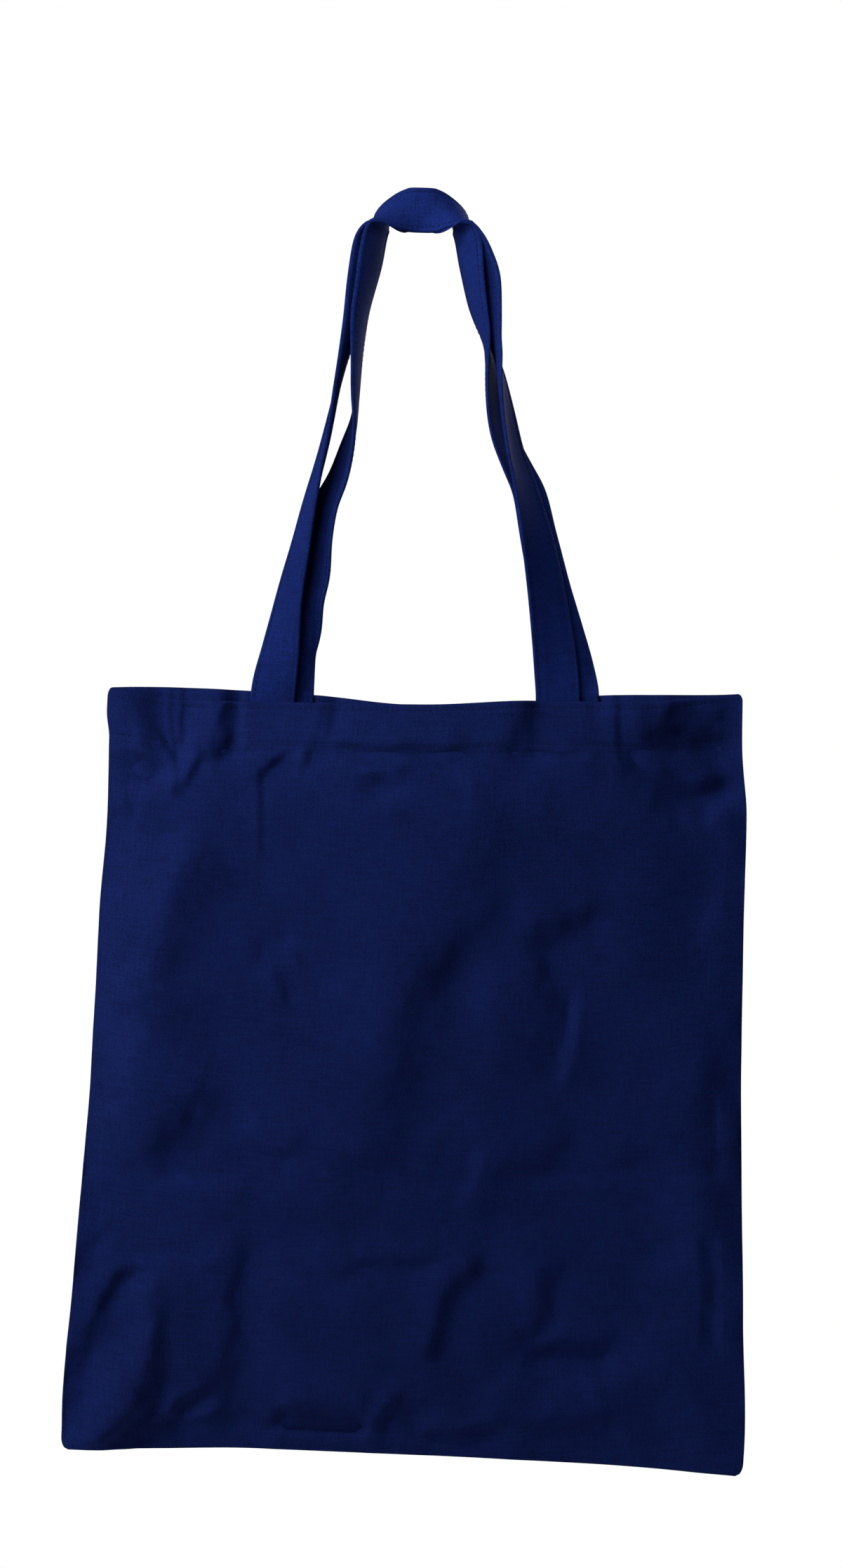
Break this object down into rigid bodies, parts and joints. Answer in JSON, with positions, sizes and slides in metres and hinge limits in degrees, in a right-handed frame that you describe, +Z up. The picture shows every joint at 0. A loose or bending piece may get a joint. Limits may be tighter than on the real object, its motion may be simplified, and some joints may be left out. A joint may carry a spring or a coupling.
{
  "type": "cotton tote bag",
  "caption": "Empty navy cotton tote bag with an open hemmed mouth and long flat handles, hanging nearly flat from its handles.",
  "frame": {"origin": "the point between the two handles where they are held together, at the top of the bag", "axes": "+Z up towards the hook, the bag hangs below; -Y out of the front panel; +X to the right seen from the front"},
  "size_m": [0.3826, 0.0314, 0.714],
  "materials": {
    "bag_cloth": "plain woven cotton, dyed navy, matt",
    "handle_cloth": "the same woven cotton, folded and pressed to a flat strip"
  },
  "bodies": {
    "root": {"bag_body": "bag_cloth", "front_handle": "handle_cloth", "back_handle": "handle_cloth"}
  },
  "joints": []
}
